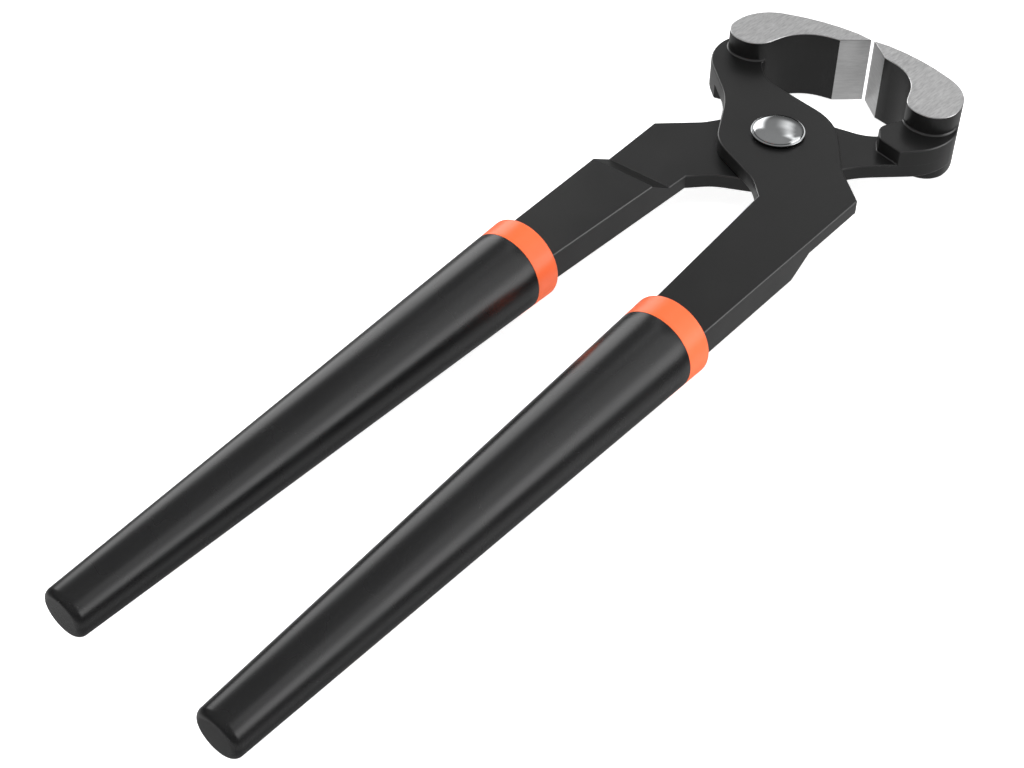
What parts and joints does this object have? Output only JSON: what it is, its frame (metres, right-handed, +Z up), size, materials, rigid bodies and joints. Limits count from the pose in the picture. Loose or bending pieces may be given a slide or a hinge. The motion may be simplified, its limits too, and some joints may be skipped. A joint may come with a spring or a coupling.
{
  "type": "end cutting pincers",
  "caption": "Hand pincers with half-lapped steel arms, facing end-cutting jaws and tapered plastic grips, for pulling and cutting fence wire, nails and staples.",
  "frame": {"origin": "on the ground under the middle of the tool, midway between the grip ends and the crown of the jaws", "axes": "+Y from the grips towards the jaws, +Z up out of the ground along the rivet, +X to the right with the jaws pointing away"},
  "size_m": [0.0686, 0.2514, 0.0202],
  "materials": {
    "arm_black": "satin black",
    "collar_orange": "semi-gloss orange",
    "grip_black": "glossy black",
    "rivet_bright": "polished"
  },
  "bodies": {
    "lower_half": {"lower_arm": "arm_black", "lower_collar": "collar_orange", "lower_grip": "grip_black", "pivot_rivet": "rivet_bright"},
    "upper_half": {"upper_arm": "arm_black", "upper_collar": "collar_orange", "upper_grip": "grip_black"}
  },
  "joints": [
    {"name": "jaw_pivot", "type": "hinge", "parent": "lower_half", "child": "upper_half", "pos_m": [0, 0.0818, 0.01009], "axis": [0, 0, 1], "range_deg": [-1.05, 43.6]}
  ]
}
